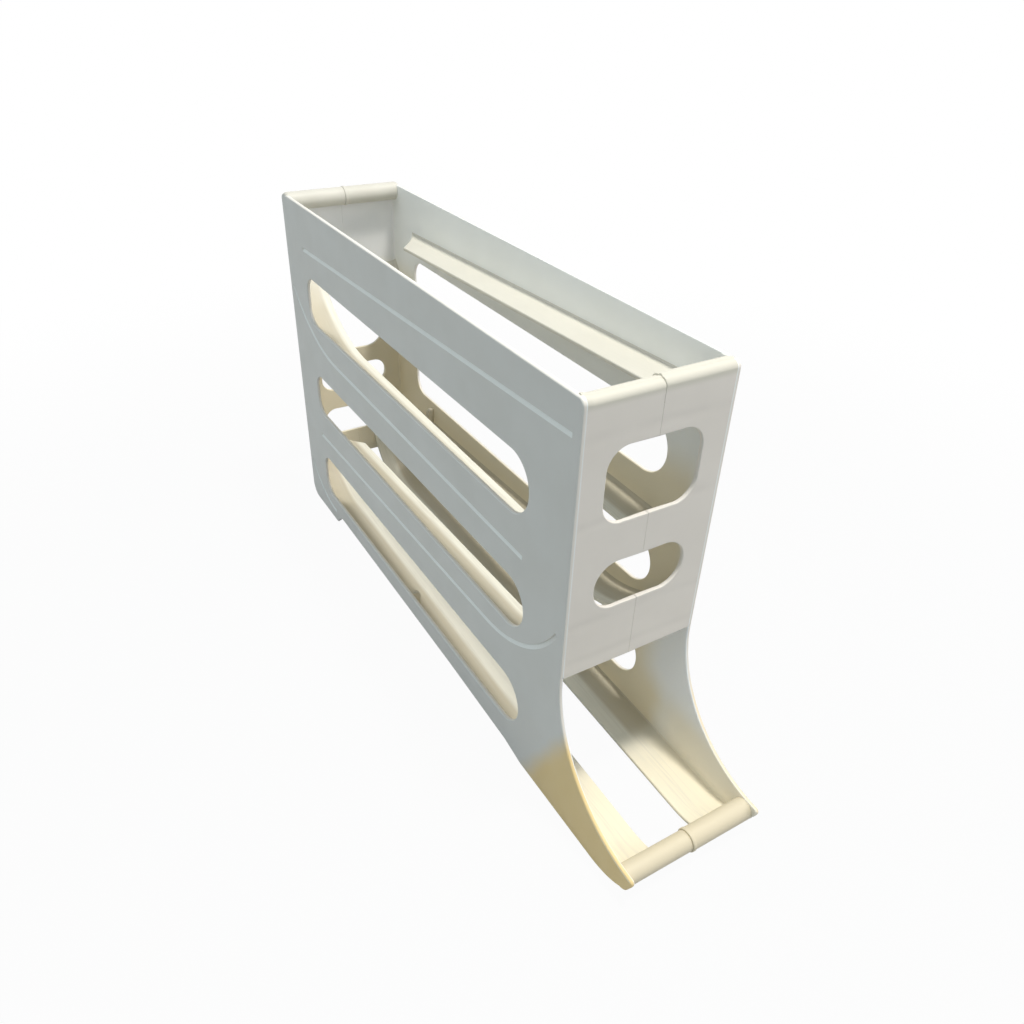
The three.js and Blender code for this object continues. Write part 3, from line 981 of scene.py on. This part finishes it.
@dataclass
class SidePanel(Part):
    """The side wall of one half, with its slots, tray lip, feet and grooves."""

    rails: RailPlan
    heel_radius: float = 0.009
    foot_length: float = 0.045
    foot_step_run: float = 0.0085
    foot_step_rise: float = 0.0074
    belly_place: float = 0.1
    belly_rise: float = 0.0052
    front_foot_place: float = 0.026
    front_foot_step_run: float = 0.015
    lip_tip_width: float = 0.001
    tip_round: float = 0.0018
    tip_steps: int = 8
    bar_centre: Point = (0.0074, 0.0107)
    bar_cover: float = 0.0053
    scoop_top: float = 0.078435
    rim_depth: float = 0.0093
    corner_radius: float = 0.003
    corner_steps: int = 6
    edge_stop: float = 0.0015
    top_bar_depth: float = 0.011
    back_wall_base: float = 0.02407
    back_wall_top: float = 0.2035
    slot_inset: float = 0.0305
    slot_back_radius: float = 0.01
    slots: tuple[Point, ...] = ((0.13840, 0.0286), (0.078435, 0.0266), (0.01826, 0.0282))
    groove_width: float = 0.0022
    groove_depth: float = 0.0009
    groove_round: float = 0.0002
    groove_inset: float = 0.003
    parting: float = 0.27
    outer_round: float = 0.0008
    inner_round: float = 0.0005
    slot_round: float = 0.0007
    arc_steps: int = 20

    @property
    def cut(self) -> float:
        """The Y place of the upright line along which the panel's two faces part."""
        return self.plan.along(self.parting)

    def outline(self) -> Line:
        """The panel's outline, from its top corner at the front round to the scoop above the tray.

        Returns:
            Its points.
        """
        plan, corner, rails = self.plan, self.corner_radius, self.rails
        foot_front, corner_height = plan.back - self.foot_length, plan.height - corner
        lip_centre = plan.tray_front + rails.lip_run
        step_top = plan.along(self.front_foot_place + self.front_foot_step_run)
        belly = plan.along(self.belly_place)
        step_rise = self.belly_rise * (step_top - lip_centre) / (belly - lip_centre)
        heel_centre = (plan.back - self.heel_radius, self.heel_radius)
        scoop_centre = (plan.tray_front + self.lip_tip_width, self.scoop_top)
        scoop_radii = (plan.front - scoop_centre[0], self.scoop_top - rails.lip_height)
        tip_height = rails.lip_height - self.tip_round
        lip = [self.round_bar(point) for point in rails.lip()[::-1] if point[1] < tip_height]
        tip_centre = (lip[-1][0] + self.tip_round, tip_height)
        scoop = arc(scoop_centre, scoop_radii, -QUARTER, 0, 2 * self.arc_steps)
        return [
            *round_arc((plan.front + corner, corner_height), corner, 2 * QUARTER, QUARTER, self.corner_steps),
            (plan.along(self.rim_depth), plan.height),
            (plan.back - self.top_bar_depth, plan.height),
            *round_arc((plan.back - corner, corner_height), corner, QUARTER, 0, self.corner_steps),
            (plan.back, self.back_wall_top),
            (plan.back, self.back_wall_base),
            *round_arc(heel_centre, self.heel_radius, 0, -QUARTER, self.arc_steps),
            (foot_front, 0),
            (foot_front - self.foot_step_run, self.foot_step_rise),
            (belly, self.belly_rise),
            (step_top, step_rise),
            (plan.along(self.front_foot_place), 0),
            *lip,
            *round_arc(tip_centre, self.tip_round, 2 * QUARTER, QUARTER, self.tip_steps)[1:],
            *(point for point in scoop if point[0] > tip_centre[0] + self.tip_round / 2),
            (plan.front, self.scoop_top + self.edge_stop),
            (plan.front, corner_height - self.edge_stop),
        ]

    def round_bar(self, point: Point) -> Point:
        """Moves a point of the lip outwards where the tray bar's end would show under the lip.

        Args:
            point: The point.

        Returns:
            Where it goes.
        """
        centre = Vector((self.plan.tray_front + self.bar_centre[0], self.bar_centre[1]))
        offset = Vector(point) - centre
        place = centre + offset.normalized() * max(offset.length, self.bar_cover)
        return (place.x, place.y)

    def slot_outline(self, base: float, height: float) -> Line:
        """A slot with a half-round front end and tighter corners at the back.

        Args:
            base: The height of its lower edge.
            height: How high it is.

        Returns:
            Its points.
        """
        reach, corner, steps = height / 2, self.slot_back_radius, self.arc_steps
        front = self.plan.along(self.slot_inset) + reach
        back = self.plan.back - self.slot_inset - corner
        return [
            *round_arc((front, base + reach), reach, QUARTER, 3 * QUARTER, 2 * steps),
            *round_arc((back, base + corner), corner, -QUARTER, 0, steps),
            *round_arc((back, base + height - corner), corner, 0, QUARTER, steps),
        ]

    def groove_edges(self, path: Line, start: float, end: float) -> tuple[Line, Line]:
        """The two edges of a strip of even width that follows a rail's line between two Y places.

        Args:
            path: The rail's line.
            start: The Y place of the groove's front end.
            end: The Y place of its back end.

        Returns:
            The strip's lower and upper edge, both from the front.
        """
        line = [(start, height_at(path, start))]
        line += [point for point in path if start + NEAR < point[0] < end - NEAR]
        line += [(end, height_at(path, end))]
        slopes, half = headings(line), self.groove_width / 2
        above = [(y - half * math.sin(s), z + half * math.cos(s)) for (y, z), s in zip(line, slopes)]
        below = [(y + half * math.sin(s), z - half * math.cos(s)) for (y, z), s in zip(line, slopes)]
        return crossed(below, self.cut), crossed(above, self.cut)

    def grooves(self) -> list[tuple[Line, Line]]:
        """The edges of the four grooves that follow the rails.

        Returns:
            For each groove, its lower and upper edge.
        """
        plan, rails = self.plan, self.rails
        front, back = plan.front_inner + self.groove_inset, plan.back_inner - self.groove_inset
        four = rails.ramp_four.path(plan.back_inner, 1)
        return [
            self.groove_edges(rails.one(), front, rails.back_end),
            self.groove_edges(rails.two(), plan.front_inner + rails.front_drop_gap, back),
            self.groove_edges(rails.three(), front, rails.back_end),
            self.groove_edges(four, four[0][0], back),
        ]

    def plate(self, level: float, outlines: Sequence[Sequence[Point]]) -> None:
        """Adds a face with holes, as two plain ones that part along an upright line through every hole.

        Args:
            level: Where the face lies on X.
            outlines: Its own outline and those of its holes, with points where they cross the line.
        """
        outer, *holes = outlines
        holes.sort(key=lambda line: min(point[1] for point in line if abs(point[0] - self.cut) < NEAR))
        for way in (-1, 1):
            bpy.ops.mesh.select_all(action="SELECT")
            bpy.ops.mesh.hide()
            rim = run_beside(outer, self.cut, way)[::-1]
            inner = (point for hole in holes for point in run_beside(hole, self.cut, way))
            self.bench.draw(Square.X, level, [*rim, *inner])
            bpy.ops.mesh.reveal()
        self.bench.weld()

    def sink_groove(self, below: Line, above: Line) -> None:
        """Fills a groove's opening and sinks it along its upper edge, so that its floor faces up.

        Args:
            below: The opening's lower edge.
            above: Its upper edge.
        """
        bench, outer = self.bench, self.plan.half_width
        lower, upper = ([Square.X.place(*point, outer) for point in line] for line in (below, above))
        bench.select_open_edges(lower)
        bpy.ops.mesh.mark_sharp()
        bench.select_open_edges(lower, upper)
        bpy.ops.mesh.bridge_edge_loops()
        bench.select_points([*lower, *upper])
        sink = Vector((-self.groove_depth, 0, 0))
        bench.push(sink)
        bench.select_points([place + sink for place in lower])
        bpy.ops.transform.translate(value=-sink)
        bench.weld()

    def in_slot(self, *ends: Vector) -> bool:
        """Tells whether all of some places lie in or round a slot.

        Args:
            ends: The places.

        Returns:
            Whether they do.
        """
        front, back = self.plan.along(self.slot_inset) - NEAR, self.plan.back - self.slot_inset + NEAR
        return all(
            front <= end.y <= back
            and any(base - NEAR <= end.z <= base + height + NEAR for base, height in self.slots)
            for end in ends)

    def is_joined(self, place: Vector) -> bool:
        """Tells whether a wall, the rim or a bar carries on past a place on the panel's inner edge.

        Args:
            place: The place.

        Returns:
            Whether one does.
        """
        plan, corner = self.plan, self.corner_radius
        return (
            place.y < plan.front + corner and place.z > self.scoop_top
            or place.z > plan.height - corner and place.y < plan.along(self.rim_depth)
            or abs(place.y - plan.back) < NEAR and self.back_wall_base < place.z < self.back_wall_top)

    def round_off(self) -> None:
        """Softens the panel's free edges, apart from those where another part carries on."""
        outer, inner = self.plan.half_width, self.plan.inner_half
        on_outer, on_inner, on_face = (Square.X.holds(*x) for x in ((outer,), (inner,), (outer, inner)))
        on_outline = among([Square.X.place(*point, 0) for point in crossed(self.outline(), self.cut)])
        self.bench.round_edges(lambda a, b: on_face(a, b) and self.in_slot(a, b), self.slot_round)
        self.bench.round_edges(
            lambda a, b: on_inner(a, b) and not self.in_slot(a, b) and not self.is_joined((a + b) / 2),
            self.inner_round)
        self.bench.round_edges(
            lambda a, b: on_outer(a, b) and not self.in_slot(a, b)
            and all(on_outline(Square.X.place(*end.yz, 0)) for end in (a, b)),
            self.outer_round)

    def shape(self) -> None:
        """Models the panel: its outer face with the grooves, its thickness and its inner face."""
        outer, inner = self.plan.half_width, self.plan.inner_half
        closed = (self.outline(), *(self.slot_outline(*slot) for slot in self.slots))
        outlines = [crossed([*line, line[0]], self.cut)[:-1] for line in closed]
        grooves = self.grooves()
        self.plate(outer, [*outlines, *([*below, *above[::-1]] for below, above in grooves)])
        for edges in grooves:
            self.sink_groove(*edges)
        self.bench.round_edges(Square.X.holds(outer), self.groove_round, FINE_SEGMENTS)
        self.bench.select_open_edges()
        bpy.ops.mesh.extrude_edges_move(TRANSFORM_OT_translate={"value": (inner - outer, 0, 0)})
        self.plate(inner, outlines)
        self.bench.face_out()
        self.round_off()


@dataclass(frozen=True)
class Window:
    """A window across the seam of a wall."""

    base: float
    height: float
    radius: float


@dataclass
class HalfWall(Part):
    """Half of the front or back wall, from the seam to the side panel."""

    base: float
    top: float
    outer: float
    inner: float
    windows: tuple[Window, ...]
    window_half_width: float = 0.0228
    window_round: float = 0.0005
    seam_round: float = 0.00015
    cove_radius: float = 0.0012
    cove_root: float = 0.0006
    cove_steps: int = 6
    tongue_cover: float = 0.00012
    arc_steps: int = 16

    def outline(self) -> Line:
        """The half wall's outline, with half of each window cut into its seam side.

        Returns:
            Its points.
        """
        edge = self.plan.inner_half
        points = [(0, self.base), (edge, self.base), (edge, self.top), (0, self.top)]
        for window in self.windows:
            radius, top = window.radius, window.base + window.height
            across = self.window_half_width - radius
            points += [
                (0, top),
                *round_arc((across, top - radius), radius, QUARTER, 0, self.arc_steps),
                *round_arc((across, window.base + radius), radius, 0, -QUARTER, self.arc_steps),
                (0, window.base),
            ]
        return points

    def cove(self) -> Line:
        """The section of the tongue that ties the wall to the side panel, with the fillet in their corner.

        Returns:
            Its points.
        """
        inward = 1 if self.inner > self.outer else -1
        across, radius = self.plan.inner_half, self.cove_radius
        bend, tongue = self.inner + inward * radius, self.outer + inward * self.tongue_cover
        return [
            (across + self.cove_root, tongue),
            (across + self.cove_root, bend),
            *arc((across - radius, bend), (radius, inward * radius), 0, -QUARTER, self.cove_steps),
            (across - radius, tongue),
        ]

    def at_seam(self, a: Vector, b: Vector) -> bool:
        """Whether an edge lies at the seam, in one plane along the wall."""
        return abs(a.y - b.y) < NEAR and a.x < NEAR and b.x < NEAR

    def is_free(self, a: Vector, b: Vector) -> bool:
        """Whether an edge in one plane along the wall lies between seam and windows, or along the base."""
        within = (a.x + b.x) / 2 < self.window_half_width + NEAR and (a.z + b.z) / 2 < self.top - NEAR
        return abs(a.y - b.y) < NEAR and not self.at_seam(a, b) and (
            within or Square.Z.holds(self.base)(a, b))

    def shape(self) -> None:
        """Models the half wall and its tongue."""
        self.bench.block(Square.Y, self.outer, self.inner, self.outline())
        self.bench.round_edges(self.at_seam, self.seam_round, FINE_SEGMENTS)
        self.bench.round_edges(self.is_free, self.window_round)
        self.bench.block(Square.Z, self.base + self.cove_radius, self.top, self.cove())


@dataclass(kw_only=True)
class SeamPart(Part):
    """A part that is plugged into its like at the seam, with a spigot on the right and a bore on the left."""

    spigot_radius: float = 0.0025
    spigot_length: float = 0.01
    bore_clearance: float = 0.0003
    bore_end_space: float = 0.002
    joint_sides: int = 32
    seam_round: float = 0.0003

    def join_seam(self, centre: Point) -> None:
        """Softens the end at the seam and makes its half of the joint, before a left part is mirrored.

        Args:
            centre: The joint's centre along Y and Z.
        """
        self.bench.face_out()
        self.bench.round_edges(Square.X.holds(0), self.seam_round, FINE_SEGMENTS)
        radius, reach, operation = self.spigot_radius, self.spigot_length, "UNION"
        if self.side is Side.LEFT:
            radius, reach = radius + self.bore_clearance, reach + self.bore_end_space
            operation = "DIFFERENCE"
        self.bench.rod(Square.X, centre, radius, (-reach, reach), self.joint_sides)
        self.bench.combine(operation)


@dataclass
class Rim(SeamPart):
    """The thick bead along the top edge of the front wall."""

    depth: float = 0.0088
    height: float = 0.0095
    front_radius: float = 0.003
    rear_radius: float = 0.0034
    crown: float = 0.0006
    left_share: float = 0.93
    end_run: float = 0.003
    root: float = 0.0006
    root_share: float = 0.96
    steps: int = 10

    def section(self) -> Line:
        """The bead's section along Y and Z, with a soft crown on top.

        Returns:
            Its points.
        """
        plan, front, rear, steps = self.plan, self.front_radius, self.rear_radius, self.steps
        base, top = plan.height - self.height, plan.height
        rear_y, front_y = plan.along(self.depth - rear), plan.along(front)
        run = rear_y - front_y
        return [
            (plan.front, base),
            (plan.front_inner, base),
            *round_arc((rear_y, base + rear), rear, -QUARTER, 0, steps),
            *round_arc((rear_y, top - rear), rear, 0, QUARTER, steps),
            *((front_y + run * (1 - share), top + self.crown * 4 * share * (1 - share))
              for share in (i / steps for i in range(1, steps))),
            *round_arc((front_y, top - front), front, QUARTER, 2 * QUARTER, steps),
        ]

    def shape(self) -> None:
        """Models the half rim. The left one is a little slimmer, so that a step shows at the seam."""
        plan, bench = self.plan, self.bench
        size = self.left_share if self.side is Side.LEFT else 1.0
        foot = (plan.front, plan.height - self.height)
        bench.draw(Square.X, 0, self.section())
        bpy.ops.transform.resize(value=(1, size, size), center_override=(0, *foot))
        bench.grow([(plan.inner_half - self.end_run, size), (plan.inner_half, 1.0)], foot, size)
        middle = (plan.along(self.depth / 2), plan.height - self.height / 2)
        bench.grow([(plan.inner_half + self.root, self.root_share)], middle, 1.0)
        self.join_seam(middle)


@dataclass
class RoundBar(SeamPart):
    """Half of a round bar across the holder."""

    centre: Point
    radius: float
    through: bool = False
    seam_round: float = field(default=0.0004, kw_only=True)
    collar_length: float = 0.0016
    collar_rise: float = 0.0003
    root: float = 0.0007
    end_cover: float = 0.0001
    end_drop: float = 0.0014
    end_steps: int = 6
    sides: int = 72

    def end_rings(self) -> Line:
        """The rings of the bar's end in the side panel, plain or run through it and rounded off.

        Returns:
            For each ring, its place on X and its radius.
        """
        start = self.plan.inner_half
        if not self.through:
            return [(start + self.root, self.radius)]
        run = self.plan.half_width - self.end_cover - start
        angles = [QUARTER * i / self.end_steps for i in range(self.end_steps + 1)]
        return [(start + run * math.sin(a), self.radius - self.end_drop * (1 - math.cos(a))) for a in angles]

    def shape(self) -> None:
        """Models the half bar, with a low collar on the right half's seam end."""
        bench, collar = self.bench, self.collar_length
        size = self.radius + (self.collar_rise if self.side is Side.RIGHT else 0)
        bench.rod(Square.X, self.centre, size, (0, collar), self.sides)
        bench.select(Kind.FACE, lambda face: all(abs(corner.co.x - collar) < NEAR for corner in face.verts))
        bench.grow([(collar + self.collar_rise, self.radius), *self.end_rings()], self.centre, size)
        self.join_seam(self.centre)


@dataclass(frozen=True)
class Gusset:
    """A small upright web in the corner between a rail and the side panel."""

    place: float
    reach: float
    height: float
    corner: float = 0.003
    thickness: float = 0.003
    steps: int = 8

    def outline(self, wall: float, foot: float, root: float) -> Line:
        """The web's outline across X and up Z.

        Args:
            wall: The place of the side panel's inner face.
            foot: The height of the rail's middle plane.
            root: How far the web runs into the side panel.

        Returns:
            Its points.
        """
        edge, top = wall - self.reach, foot + self.height
        bend = round_arc(
            (edge + self.corner, top - self.corner), self.corner, QUARTER, 2 * QUARTER, self.steps)
        return [(edge, foot), (wall + root, foot), (wall + root, top), *bend]


@dataclass
class Rail(Part):
    """One rail of one half, with a rounded inner edge and a fillet where it meets the side panel."""

    path: Line
    half_gap: float
    skewed: bool = False
    gusset: Gusset | None = None
    thickness: float = RailPlan.thickness
    skew: float = 0.027
    end_hollow: float = 0.0013
    lower_fillet: float = 0.001
    upper_fillet: float = 0.0018
    root: float = 0.0007
    edge_round: float = 0.0007
    end_round: float = 0.0005
    overrun: float = 0.0008
    cut_reach: float = 0.018
    cut_sides: int = 360
    cut_near: float = 3e-5
    steps: int = 5

    def section(self) -> Line:
        """The rail's section across X and above its middle plane.

        Returns:
            Its points.
        """
        half, edge, steps = self.thickness / 2, self.edge_round, self.steps
        wall, above, below = self.plan.inner_half, self.upper_fillet, self.lower_fillet
        tip = self.half_gap + edge
        upper = round_arc((wall - above, half + above), above, -QUARTER, 0, steps)
        lower = [(wall, -half)]
        if below:
            lower = round_arc((wall - below, -half - below), below, 0, QUARTER, steps)
        return [
            *round_arc((tip, -half + edge), edge, 3 * QUARTER, 2 * QUARTER, steps),
            *round_arc((tip, half - edge), edge, 2 * QUARTER, QUARTER, steps),
            *upper,
            (wall + self.root, upper[-1][1]),
            (wall + self.root, lower[0][1]),
            *lower,
        ]

    def extended(self) -> Line:
        """The path, made a little longer at both ends so that it can be trimmed."""
        path, spare = self.path, 2 * self.overrun
        return [beyond(path[1], path[0], spare), *path, beyond(path[-2], path[-1], spare)]

    def square_end(self, end: Point, outward: int) -> None:
        """Cuts an end off square: a little inside the wall that it meets, or rounded where it ends free.

        Args:
            end: The end of the path.
            outward: Which way along Y leads off the rail.
        """
        wall = self.plan.back_inner if outward > 0 else self.plan.front_inner
        if abs(end[0] - wall) < NEAR:
            self.bench.trim(end[0] + outward * self.overrun, outward)
        else:
            self.bench.trim(end[0], outward)
            self.bench.round_edges(Square.Y.holds(end[0]), self.end_round)

    def hollow_end(self) -> None:
        """Cuts the back end on the skew, in a shallow hollow curve, and rounds it."""
        along, height = self.path[-1]
        foot, tip = Vector((self.plan.inner_half, along)), Vector((self.half_gap, along - self.skew))
        chord, middle = tip - foot, (tip + foot) / 2
        radius = chord.length ** 2 / (8 * self.end_hollow) + self.end_hollow / 2
        outward = Vector((chord.y, -chord.x)).normalized()
        centre = middle + outward * (radius - self.end_hollow)
        ends = (height - self.cut_reach, height + self.cut_reach)
        self.bench.rod(Square.Z, tuple(centre), radius, ends, self.cut_sides)
        self.bench.combine("DIFFERENCE")
        self.bench.round_edges(
            lambda a, b: all(abs((end.xy - centre).length - radius) < self.cut_near for end in (a, b)),
            self.end_round)

    def add_gusset(self, gusset: Gusset) -> None:
        """Adds a gusset between the rail and the side panel, and rounds its free edges.

        Args:
            gusset: The gusset.
        """
        wall, place = self.plan.inner_half, self.plan.along(gusset.place)
        foot, half = height_at(self.path, place), gusset.thickness / 2
        lowest, on_face = foot + self.thickness / 2, Square.Y.holds(place - half, place + half)
        self.bench.block(Square.Y, place - half, place + half, gusset.outline(wall, foot, self.root))
        self.bench.round_edges(
            lambda a, b: on_face(a, b) and max(a.z, b.z) > lowest and min(a.x, b.x) < wall - NEAR,
            self.end_round)

    def shape(self) -> None:
        """Models the rail."""
        self.bench.sweep(self.section(), self.extended())
        self.square_end(self.path[0], -1)
        if self.skewed:
            self.hollow_end()
        else:
            self.square_end(self.path[-1], 1)
        if self.gusset is not None:
            self.add_gusset(self.gusset)


@dataclass
class HolderHalf:
    """One half of the holder."""

    side: Side
    plan: Plan
    front_windows: tuple[Window, ...] = (Window(0.151268, 0.0337, 0.01), Window(0.109353, 0.023, 0.011))
    back_windows: tuple[Window, ...] = (
        Window(0.103543, 0.042, 0.012), Window(0.07636, 0.016, 0.0075), Window(0.042953, 0.019, 0.008))
    tray_bar_radius: float = 0.0052
    left_bar_share: float = 0.94
    top_bar_radius: float = 0.0055
    top_bar_rise: float = 0.0015
    half_gaps: tuple[float, ...] = (0.0155, 0.0165, 0.0165, 0.012)
    slim_fillet: float = 0.0008
    gussets: tuple[tuple[Side, int, Gusset], ...] = (
        (Side.LEFT, 4, Gusset(place=0.1515, reach=0.0055, height=0.0115)),
        (Side.RIGHT, 3, Gusset(place=0.257, reach=0.0042, height=0.0125)),
    )

    def rim_and_bars(self) -> list[Part]:
        """The halves of the rim and of the two round bars.

        Returns:
            These parts.
        """
        plan, side, top_radius = self.plan, self.side, self.top_bar_radius
        top_centre = (plan.back - top_radius, plan.height + self.top_bar_rise - top_radius)
        tray_centre = (plan.tray_front + SidePanel.bar_centre[0], SidePanel.bar_centre[1])
        share = self.left_bar_share if side is Side.LEFT else 1.0
        return [
            Rim(plan, side, "front_rim", FinishAndLight.FRONT),
            RoundBar(plan, side, "top_bar", FinishAndLight.BAR, top_centre, top_radius - RoundBar.collar_rise, True),
            RoundBar(plan, side, "tray_bar", FinishAndLight.BAR, tray_centre, self.tray_bar_radius * share),
        ]

    def rails(self, lines: RailPlan) -> list[Part]:
        """The four rails.

        Args:
            lines: Their lines.

        Returns:
            The rails.
        """
        webs = {number: gusset for side, number, gusset in self.gussets if side is self.side}
        four = lines.four(self.plan.tray_front + SidePanel.bar_centre[0])
        paths = (lines.one(), lines.two(), lines.three(), four)
        changes = (
            {"skewed": True, "upper_fillet": self.slim_fillet},
            {},
            {"skewed": True},
            {"lower_fillet": 0, "upper_fillet": self.slim_fillet},
        )
        return [
            Rail(self.plan, self.side, f"rail_{i}", FinishAndLight.RAIL, path, gap, gusset=webs.get(i), **change)
            for i, (path, gap, change) in enumerate(zip(paths, self.half_gaps, changes), 1)
        ]

    def parts(self) -> list[Part]:
        """All parts of the half, in the order in which they are built.

        Returns:
            The parts.
        """
        plan, side, lines = self.plan, self.side, RailPlan(self.plan)
        panel = SidePanel(plan, side, "side_panel", FinishAndLight.PANEL, lines)
        return [
            panel,
            HalfWall(plan, side, "front_wall", FinishAndLight.FRONT, panel.scoop_top, plan.height - Rim.height,
                     plan.front, plan.front_inner, self.front_windows),
            HalfWall(plan, side, "back_wall", FinishAndLight.BACK, panel.back_wall_base, panel.back_wall_top,
                     plan.back, plan.back_inner, self.back_windows),
            *self.rim_and_bars(),
            *self.rails(lines),
        ]


@dataclass(frozen=True)
class Lamp:
    """A soft square studio lamp, which points at the holder."""

    name: str
    place: Place
    size: float
    power: float
    colour: Tone
    target: Place = (0, 0, 0.1)

    def build(self) -> None:
        """Puts the lamp in the scene."""
        data = bpy.data.lights.new(self.name, "AREA")
        data.size, data.energy, data.color = self.size, self.power, self.colour
        lamp = bpy.data.objects.new(self.name, data)
        bpy.context.scene.collection.objects.link(lamp)
        lamp.location = self.place
        lamp.rotation_euler = (Vector(self.target) - Vector(self.place)).to_track_quat("-Z", "Y").to_euler()


@dataclass(frozen=True)
class Studio:
    """The floor, the backdrop, the lamps and the camera."""

    floor_size: float = 8.0
    floor_tone: Tone = (0.34, 0.36, 0.37)
    floor_glow: float = 0.96
    floor_fade: Point = (0.25, 0.7)
    ambient: Tone = (0.86, 0.95, 1.0)
    ambient_level: float = 0.46
    backdrop: Tone = (1, 1, 1)
    camera_place: Place = (-0.191142, -0.328217, 0.331140)
    camera_turn: Place = (56.38566, -1.82940, -31.11074)
    camera_lens: float = 29.7684
    camera_near: float = 0.01
    sensor: float = 36.0
    lamps: tuple[Lamp, ...] = (
        Lamp("key", (0.22, -0.26, 1.5), 0.2, 16.0, (1.0, 0.97, 0.92)),
        Lamp("sky", (-1.2, 0.1, 1.3), 1.2, 3.0, (0.9, 0.97, 1.0)),
        Lamp("front_fill", (1.2, -0.85, 0.6), 0.9, 6.7, (1.0, 0.93, 0.89)),
    )

    def make_floor(self) -> None:
        """Lays the pale floor, which keeps the holder's shadow."""
        bpy.ops.object.select_all(action="DESELECT")
        bpy.ops.mesh.primitive_plane_add(size=self.floor_size)
        floor = bpy.context.active_object
        floor.name = "studio_floor"
        material = bpy.data.materials.new(floor.name)
        material.use_nodes = True
        tree = Tree(material.node_tree)
        matt = tree.node("ShaderNodeBsdfDiffuse", {"Color": (*self.floor_tone, 1)})
        glow = tree.node("ShaderNodeEmission", {"Strength": 1})
        distance = tree.node("ShaderNodeVectorMath", {0: tree.place()}, operation="LENGTH").outputs["Value"]
        share = tree.ramp(distance, self.floor_fade, (self.floor_glow, 1), True)
        tree.end("ShaderNodeOutputMaterial", tree.times(tree.seen(), share), matt, glow)
        floor.data.materials.append(material)

    def make_world(self) -> None:
        """Sets a soft, even light all round, in front of a white backdrop."""
        world = bpy.data.worlds.new("studio")
        bpy.context.scene.world = world
        world.use_nodes = True
        tree = Tree(world.node_tree)
        ambient, backdrop = (
            tree.node("ShaderNodeBackground", {"Color": (*tone, 1), "Strength": level})
            for tone, level in ((self.ambient, self.ambient_level), (self.backdrop, 1)))
        tree.end("ShaderNodeOutputWorld", tree.seen(), ambient, backdrop)

    def make_camera(self) -> None:
        """Places the camera at the photograph's angle."""
        data = bpy.data.cameras.new("camera")
        data.sensor_width, data.lens, data.clip_start = self.sensor, self.camera_lens, self.camera_near
        camera = bpy.data.objects.new("camera", data)
        bpy.context.scene.collection.objects.link(camera)
        camera.location = self.camera_place
        camera.rotation_euler = Euler([math.radians(angle) for angle in self.camera_turn])
        bpy.context.scene.camera = camera

    def build(self) -> None:
        """Sets up the whole studio."""
        bpy.context.scene.view_settings.view_transform = "Standard"
        self.make_world()
        self.make_floor()
        self.make_camera()
        for lamp in self.lamps:
            lamp.build()


def main() -> None:
    """Builds both halves and the studio."""
    logging.basicConfig(level=logging.INFO, format="%(message)s")
    for effect in (Skin(), Band(), Rub(), PaintedLight()):
        effect.make()
    plan = Plan.from_frame()
    materials = {finish_and_light: finish_and_light.value.make() for finish_and_light in FinishAndLight}
    for side in Side:
        for part in HolderHalf(side, plan).parts():
            part.build(materials[part.finish_and_light])
    Studio().build()


if __name__ == "__main__":
    main()
